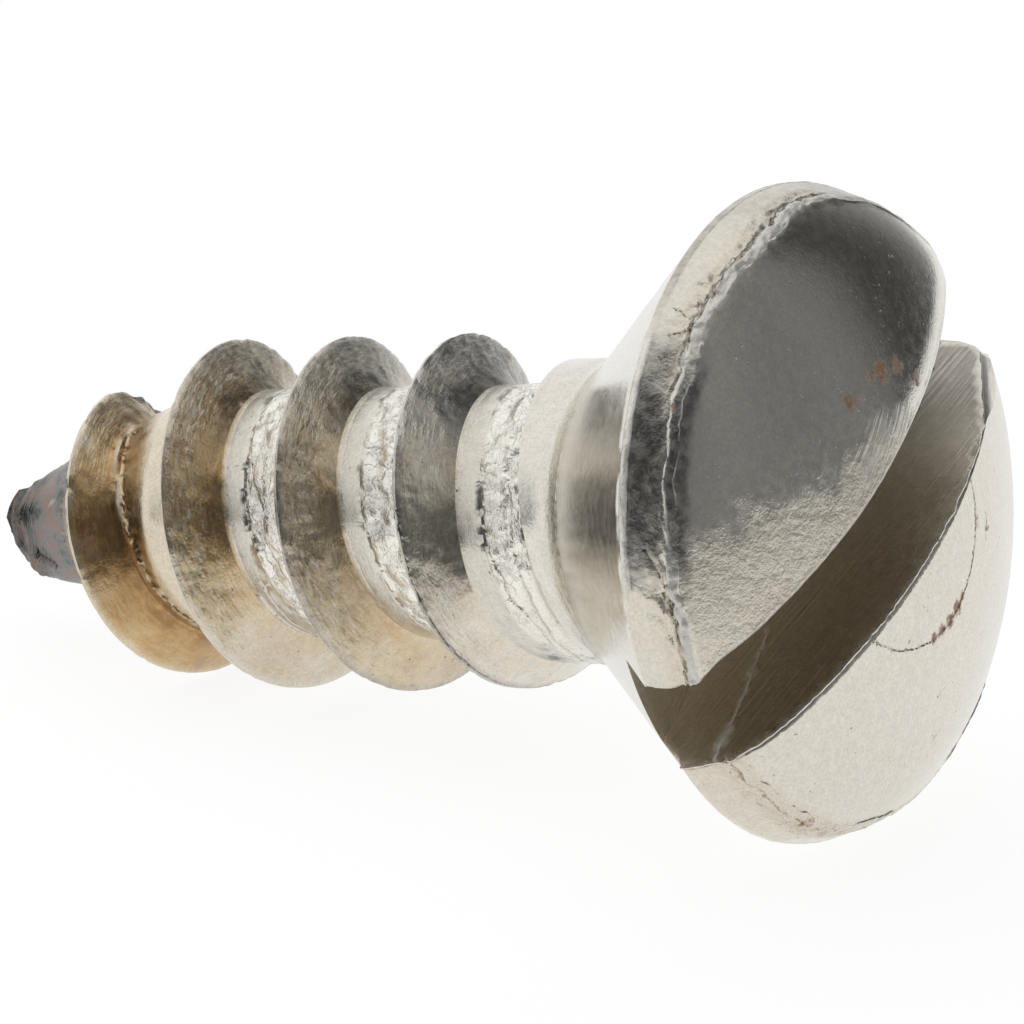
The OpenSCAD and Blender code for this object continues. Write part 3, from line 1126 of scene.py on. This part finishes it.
finish = {
    "tint": ((0, (0.76, 0.73, 0.665)), (0.2, (0.73, 0.66, 0.54)), (0.4, (0.7, 0.59, 0.42)),
             (0.6, (0.62, 0.46, 0.26)), (0.8, (0.52, 0.34, 0.16)), (1, (0.36, 0.21, 0.09))),
    "rose": (0.56, 0.44, 0.4),
    "pale": (0.94, 0.91, 0.84),
    "tip": ((0.35, (0.12, 0.125, 0.115)), (0.47, (0.22, 0.225, 0.22)), (0.56, (0.26, 0.22, 0.2)),
            (0.66, (0.31, 0.21, 0.17))),
    "skin": (0.32, 0.32, 0.33),
    "soot": (0.075, 0.066, 0.055),
    "rust": ((0.35, (0.2, 0.085, 0.03)), (0.55, (0.42, 0.17, 0.05)), (0.75, (0.55, 0.28, 0.11))),
    "crack": (0.1, 0.08, 0.06),
    "roughness": (0.15, 0.23),
    "round": 7.8,             # length of one turn
    "secondGroove": 1.9,      # where its cells end, in turns
    # Noise as scale, detail and roughness
    "noise": {"broad": (1.6, 3, 0.6), "grain": (9.0, 3, 0.65), "fine": (34.0, 2, 0.6), "dots": (19.0, 2, 0.5),
              "mottle": (4.0, 5, 0.66), "patches": (13.0, 4, 0.75), "lumps": (14.0, 4, 0.72)},
    # Noise along the surface as scale along and across, detail and roughness
    "streak": (6.0, 15.0, 5, 0.7),
    "tear": (9.0, 24.0, 3, 0.6),
    "brush": (1.2, 26.0, 3, 0.6),
    "brushLean": -0.22,
    # How much more matt each part is
    "matt": {"crust": 0.14, "band": 0.06, "gall": 0.12, "blue": 0.14, "brushed": 0.22, "skin": 0.1,
             "grime": 0.35},
    # Height of the relief that is finer than the mesh
    "relief": {"cracked": -0.006, "galled": 0.05, "torn": 0.025, "flat": 0.022, "rough": 0.02,
               "mottled": 0.04, "scratched": 0.012, "drawn": 0.003, "plain": 0.0015},
}


class Nodes:
    # Short names for the nodes of one material
    def __init__(self, tree):
        self.tree = tree

    def add(self, kind, **settings):
        node = self.tree.nodes.new("ShaderNode" + kind)
        for name, value in settings.items():
            setattr(node, name, value)
        return node

    def link(self, source, socket):
        if isinstance(source, bpy.types.NodeSocket):
            self.tree.links.new(source, socket)
        else:
            socket.default_value = source

    def join(self, kind, *sources, **settings):
        # A node with its inputs in order
        node = self.add(kind, **settings)
        for source, socket in zip(sources, node.inputs):
            self.link(source, socket)
        return node.outputs[0]

    def math(self, operation, *values, clamp=False):
        return self.join("Math", *values, operation=operation, use_clamp=clamp)

    def times(self, a, b, clamp=False):
        return self.math("MULTIPLY", a, b, clamp=clamp)

    def plus(self, a, b):
        return self.math("ADD", a, b)

    def sway(self, value, amount):
        # Noise that goes both up and down
        return self.times(self.math("SUBTRACT", value, 0.5), amount)

    def most(self, first, *others):
        for other in others:
            first = self.math("MAXIMUM", first, other)
        return first

    def value(self, name):
        return self.add("Attribute", attribute_name=name).outputs["Fac"]

    def place(self, x, y, z=0.0):
        return self.join("CombineXYZ", x, y, z)

    def split(self, vector):
        node = self.add("SeparateXYZ")
        self.link(vector, node.inputs[0])
        return node.outputs

    def noise(self, place, scale, detail, roughness):
        node = self.add("TexNoise")
        self.link(place, node.inputs["Vector"])
        for name, value in (("Scale", scale), ("Detail", detail), ("Roughness", roughness)):
            node.inputs[name].default_value = value
        return node.outputs["Fac"]

    def grainAlong(self, u, v, kind, seed=0.0):
        scaleU, scaleV, detail, roughness = kind
        place = self.place(self.times(u, scaleU), self.times(v, scaleV), seed)
        return self.noise(place, 1.0, detail, roughness)

    def cells(self, place):
        node = self.add("TexVoronoi", feature="DISTANCE_TO_EDGE")
        self.link(place, node.inputs["Vector"])
        node.inputs["Scale"].default_value = 1.0
        return node.outputs["Distance"]

    def range(self, value, low, high, to=(0, 1)):
        node = self.add("MapRange", interpolation_type="SMOOTHSTEP")
        self.link(value, node.inputs["Value"])
        for name, level in (("From Min", low), ("From Max", high), ("To Min", to[0]), ("To Max", to[1])):
            node.inputs[name].default_value = level
        return node.outputs[0]

    def ramp(self, value, stops, interpolation="LINEAR"):
        node = self.add("ValToRGB")
        self.link(value, node.inputs["Fac"])
        node.color_ramp.interpolation = interpolation
        elements = node.color_ramp.elements
        for i, (at, colour) in enumerate(stops):
            stop = elements[0] if i == 0 else elements[-1] if i == len(stops) - 1 else elements.new(at)
            stop.position = at
            stop.color = (*colour, 1)
        return node.outputs["Color"]

    def blend(self, factor, a, b, mode="MIX"):
        node = self.add("Mix", data_type="RGBA", blend_type=mode)
        colours = [i for i in node.inputs if i.type == "RGBA"]
        self.link(factor, node.inputs[0])
        for colour, socket in ((a, colours[0]), (b, colours[1])):
            self.link((*colour, 1) if isinstance(colour, tuple) else colour, socket)
        return [o for o in node.outputs if o.type == "RGBA"][0]


def standing(n):
    # Places on the screw in millimetres, as if it still stood on its point
    where = n.add("TexCoord")
    turn = n.add("Mapping", vector_type="TEXTURE")
    turn.inputs["Location"].default_value = (-rest["shift"] * mm, 0, rest["drop"] * mm)
    turn.inputs["Rotation"].default_value = (0, math.radians(90 - rest["tilt"]), 0)
    turn.inputs["Scale"].default_value = (mm, mm, mm)
    n.link(where.outputs["Object"], turn.inputs["Vector"])
    return turn.outputs[0], where.outputs["UV"]


def patterns(n):
    # The stains and painted light and shade of the mesh, and the noise that goes with them
    m = SimpleNamespace(**{name: n.value(name) for name in stainAndPaintedLightNames})
    where, lanes = standing(n)
    for name, kind in finish["noise"].items():
        setattr(m, name, n.noise(where, *kind))
    # Streaks along the thread, quick across it and slow along it
    turns, across, _ = n.split(lanes)
    along = n.times(turns, finish["round"])
    m.streak = n.grainAlong(along, across, finish["streak"])
    m.tear = n.grainAlong(along, across, finish["tear"], 4.0)
    # Cells of the cracked band: long along the thread in the second groove,
    # and short in the next ones
    late = n.math("GREATER_THAN", turns, finish["secondGroove"])
    bent = n.sway(m.grain, 0.9)
    m.cell = n.cells(n.place(n.plus(n.times(along, n.range(late, 0.0, 1.0, (2.2, 5.5))), bent),
                             n.plus(n.times(across, n.range(late, 0.0, 1.0, (9.0, 3.0))), bent)))
    # Brush marks along the slot
    x, y, z = n.split(where)
    alongSlot = n.plus(n.times(x, slotAlong.x), n.times(y, slotAlong.y))
    offSlot = n.plus(n.plus(n.times(x, slotAcross.x), n.times(y, slotAcross.y)), z)
    offSlot = n.plus(offSlot, n.times(alongSlot, finish["brushLean"]))
    m.brush = n.grainAlong(alongSlot, offSlot, finish["brush"])
    return m


def colourOf(n, m):
    heated = n.plus(m.tint, n.sway(m.streak, n.times(m.tint, 0.6)))
    heated = n.plus(heated, n.sway(m.broad, n.times(m.tint, 0.7)))
    colour = n.ramp(heated, finish["tint"])
    rosy = n.times(n.range(m.broad, 0.5, 0.66), n.times(m.tint, 0.5), True)
    colour = n.blend(rosy, colour, finish["rose"])
    colour = n.blend(m.blue, colour, n.ramp(m.mottle, finish["tip"]))
    worn = n.plus(n.times(m.brush, m.brushed), n.times(m.grain, n.math("SUBTRACT", 1.0, m.brushed)))
    # Greying darkens the colour; on the head's rim and near 1242 on the thread it is painted shade
    greyedAndShaded = n.times(m.skin, n.range(worn, 0.32, 0.62, (1.1, 0.7)), True)
    colour = n.blend(greyedAndShaded, colour, finish["skin"], "MULTIPLY")
    # Pale burrs and scraped metal, and painted highlights: pale streaks in torn metal, the slot's edges, the
    # far lobe and the wide pale patches on the flanks
    scraped = n.range(n.times(m.brush, n.range(m.broad, 0.35, 0.65, (0.8, 1.15))), 0.5, 0.64, (0.0, 0.5))
    m.light = n.most(n.times(m.pale, n.range(m.grain, 0.3, 0.55, (0.6, 1.0))),
                     n.times(m.gall, n.range(m.tear, 0.5, 0.38, (0.0, 0.75))),
                     n.times(n.times(m.brushed, m.skin), scraped))
    # The rough band is made pale as well, partly its own colour and partly painted light where the groove
    # shades it
    colour = n.blend(n.most(m.light, m.band), colour, finish["pale"])
    shade = n.times(n.range(m.grain, 0.3, 0.7, (0.93, 1.03)), n.range(m.fine, 0.3, 0.7, (0.92, 1.04)))
    colour = n.blend(1.0, colour, n.place(shade, shade, shade), "MULTIPLY")
    # Soot, the painted shadow in the last groove and dark tears in galled metal darken the colour
    patchySootAndShadow = n.times(m.soot, n.range(m.grain, 0.36, 0.6, (0.35, 1.0)))
    sootShadowAndTears = n.most(patchySootAndShadow, n.times(m.gall, n.range(m.tear, 0.58, 0.68, (0.0, 0.7))))
    colour = n.blend(sootShadowAndTears, colour, finish["soot"])
    specks = n.times(n.range(m.dots, 0.71, 0.76),
                     n.range(n.math("SUBTRACT", m.broad, m.brushed), 0.45, 0.6, (0.1, 0.6)))
    bandCrack = n.times(n.times(n.range(m.cell, 0.06, 0.01), n.range(m.broad, 0.46, 0.6)), m.band)
    # Cracks are darkened, partly by their own colour and partly with painted shade in them, in the seam's
    # groove and behind the slot's far burr
    cracked = n.range(n.plus(m.crack, n.sway(m.fine, n.times(m.crack, 1.2))), 0.05, 0.8)
    m.cracked = n.most(cracked, specks, n.times(bandCrack, 0.22))
    colour = n.blend(m.cracked, colour, finish["crack"])
    rusty = n.plus(m.rust, n.times(n.sway(m.patches, 2.2), n.range(m.rust, 0.0, 0.3)))
    m.rusty = n.times(n.range(rusty, 0.25, 1.1), 0.9)
    # Rust, soot and painted shadow make the surface more matt
    m.grime = n.most(m.rusty, patchySootAndShadow)
    return n.blend(m.rusty, colour, n.ramp(m.fine, finish["rust"]))


def glossOf(n, m):
    # Roughness, and how far it is bare metal
    gloss = n.range(m.grain, 0.3, 0.7, finish["roughness"])
    for name, more in finish["matt"].items():
        gloss = n.math("ADD", gloss, n.times(getattr(m, name), more), clamp=True)
    # Rust, cracks with their painted shade, and pale places with their painted highlights are less metallic
    dull = n.most(m.rusty, n.times(m.cracked, 0.6), n.times(m.light, 0.75))
    return gloss, n.math("SUBTRACT", 1.0, dull)


def reliefOf(n, m):
    m.galled = n.times(m.streak, m.gall)
    m.torn = n.times(m.tear, m.gall)
    m.flat = n.times(n.math("MINIMUM", m.cell, 0.12), m.band)
    m.rough = n.times(m.lumps, n.plus(n.times(m.band, 0.65), m.crust))
    m.mottled = n.times(m.mottle, m.blue)
    m.scratched = n.times(m.brush, m.brushed)
    m.drawn = n.times(m.streak, m.tint)
    m.plain = n.plus(m.fine, m.grain)
    depth = 0.0
    for name, height in finish["relief"].items():
        depth = n.math("MULTIPLY_ADD", getattr(m, name), height, depth)
    bump = n.add("Bump")
    n.link(depth, bump.inputs["Height"])
    bump.inputs["Distance"].default_value = mm
    return bump.outputs[0]


def metal():
    mat = bpy.data.materials.new("stainless")
    mat.use_nodes = True
    shader = mat.node_tree.nodes["Principled BSDF"]
    n = Nodes(mat.node_tree)
    m = patterns(n)
    n.link(colourOf(n, m), shader.inputs["Base Color"])
    for source, name in zip(glossOf(n, m), ("Roughness", "Metallic")):
        n.link(source, shader.inputs[name])
    n.link(reliefOf(n, m), shader.inputs["Normal"])
    return mat


body.data.materials.append(metal())
print("metal made")

# Floor, light and camera

studio = {
    "floorSize": 0.6,
    "paper": 0.95,
    "floorGlow": 0.9,
    "floorShade": 0.18,
    "viewFrom": 33.75,        # azimuth and height of the camera
    "viewHeight": 19.35,
    "distance": 47.15,
    "lens": 168.75,
    "aim": (0.237, 0.727, 2.063),
    # Brightness of the wall by azimuth, right of the camera
    "wall": ((-180, 1), (-84, 1), (-76, 0.8), (-68, 0.3), (-61, 0.07), (-46, 0.05), (-36, 0.13),
             (-28, 0.13), (-16, 0.05), (4, 0.055), (16, 0.18), (60, 0.24), (84, 0.2), (102, 0.22),
             (110, 0.15), (118, 0.06), (126, 0.06), (134, 0.1), (146, 0.24), (157, 0.52), (167, 0.88),
             (180, 1)),
    "wallTop": (57, 70),
}


def grey(level):
    return level, level, level


def makeFloor():
    bm = bmesh.new()
    bmesh.ops.create_grid(bm, x_segments=1, y_segments=1, size=studio["floorSize"])
    floor = asObject(bm, "floor")
    mat = bpy.data.materials.new("paleFloor")
    mat.use_nodes = True
    n = Nodes(mat.node_tree)
    paper = mat.node_tree.nodes["Principled BSDF"]
    paper.inputs["Base Color"].default_value = (*grey(studio["paper"]), 1)
    paper.inputs["Roughness"].default_value = 0.9
    # What is seen is white, and keeps the shadow of the screw
    white = n.join("Emission", (1, 1, 1, 1), studio["floorGlow"])
    shaded = n.join("BsdfDiffuse", (*grey(studio["floorShade"]), 1))
    ray = n.add("LightPath").outputs
    seen = n.most(*(ray["Is " + kind + " Ray"] for kind in ("Camera", "Glossy", "Transmission")))
    both = n.join("MixShader", seen, paper.outputs[0], n.join("AddShader", white, shaded))
    n.link(both, mat.node_tree.nodes["Material Output"].inputs[0])
    floor.data.materials.append(mat)


def makeWorld():
    # A white room with a dark wall that runs from the camera to the right
    world = bpy.data.worlds.new("studio")
    bpy.context.scene.world = world
    world.use_nodes = True
    n = Nodes(world.node_tree)
    turn = n.add("Mapping", vector_type="VECTOR")
    turn.inputs["Rotation"].default_value = (0, 0, math.radians(90 - studio["viewFrom"]))
    n.link(n.add("TexCoord").outputs["Generated"], turn.inputs["Vector"])
    x, y, z = n.split(turn.outputs[0])
    share = n.math("MULTIPLY_ADD", n.math("ARCTAN2", y, x), 1 / math.tau, 0.5)
    stops = [((azimuth + 180) / 360, grey(level)) for azimuth, level in studio["wall"]]
    low, high = (math.sin(math.radians(angle)) for angle in studio["wallTop"])
    colour = n.blend(n.range(z, low, high), n.ramp(share, stops, "EASE"), grey(1))
    n.link(colour, world.node_tree.nodes["Background"].inputs["Color"])


def makeCamera():
    a, e = math.radians(studio["viewFrom"]), math.radians(studio["viewHeight"])
    back = Vector((math.sin(a) * math.cos(e), -math.cos(a) * math.cos(e), math.sin(e)))
    lens = bpy.data.cameras.new("camera")
    lens.lens = studio["lens"]
    lens.clip_start = 0.001
    camera = bpy.data.objects.new("camera", lens)
    camera.location = (Vector(studio["aim"]) + back * studio["distance"]) * mm
    camera.rotation_euler = back.to_track_quat("Z", "Y").to_euler()
    bpy.context.scene.collection.objects.link(camera)
    bpy.context.scene.camera = camera


makeFloor()
makeWorld()
makeCamera()
print("floor, light and camera placed")
bpy.context.scene.view_settings.view_transform = "Standard"
